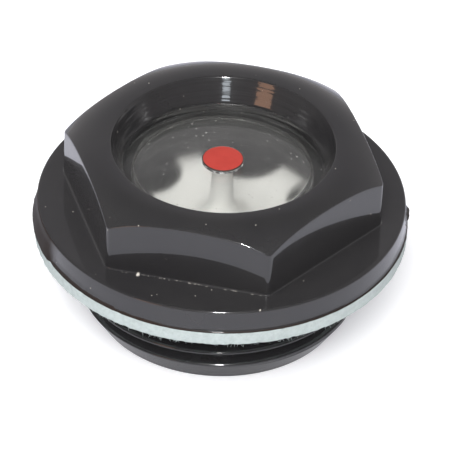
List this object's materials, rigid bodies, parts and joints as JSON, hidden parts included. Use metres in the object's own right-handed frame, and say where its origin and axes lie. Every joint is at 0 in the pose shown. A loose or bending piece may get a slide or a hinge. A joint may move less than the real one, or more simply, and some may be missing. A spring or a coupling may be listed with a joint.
{
  "type": "tank level gauge",
  "caption": "Screw-in tank level gauge: black hexagon body with flange and threaded spigot, clear domed window with a red level dot over a white lobed reflector, fibre sealing washer.",
  "frame": {"origin": "on the thread's axis in the sealing plane, the underside of the sealing washer, where it meets the tank wall", "axes": "+Z out of the tank along the thread's axis, towards the window; +X towards one corner of the hexagon"},
  "size_m": [0.0558, 0.0556, 0.0291],
  "materials": {
    "body_nylon": "black glass-filled nylon, glossy from the mould",
    "window_clear": "clear moulded plastic, polished",
    "dot_red": "red plastic, satin",
    "seal_rubber": "black nitrile rubber, dull",
    "reflector_white": "white moulded plastic, satin",
    "washer_fibre": "pressed white fibre with a faint blue-green tint, fuzzy cut edge"
  },
  "bodies": {
    "root": {"body": "body_nylon", "window": "window_clear", "red_dot": "dot_red", "window_seal": "seal_rubber", "reflector": "reflector_white", "sealing_washer": "washer_fibre"}
  },
  "joints": []
}
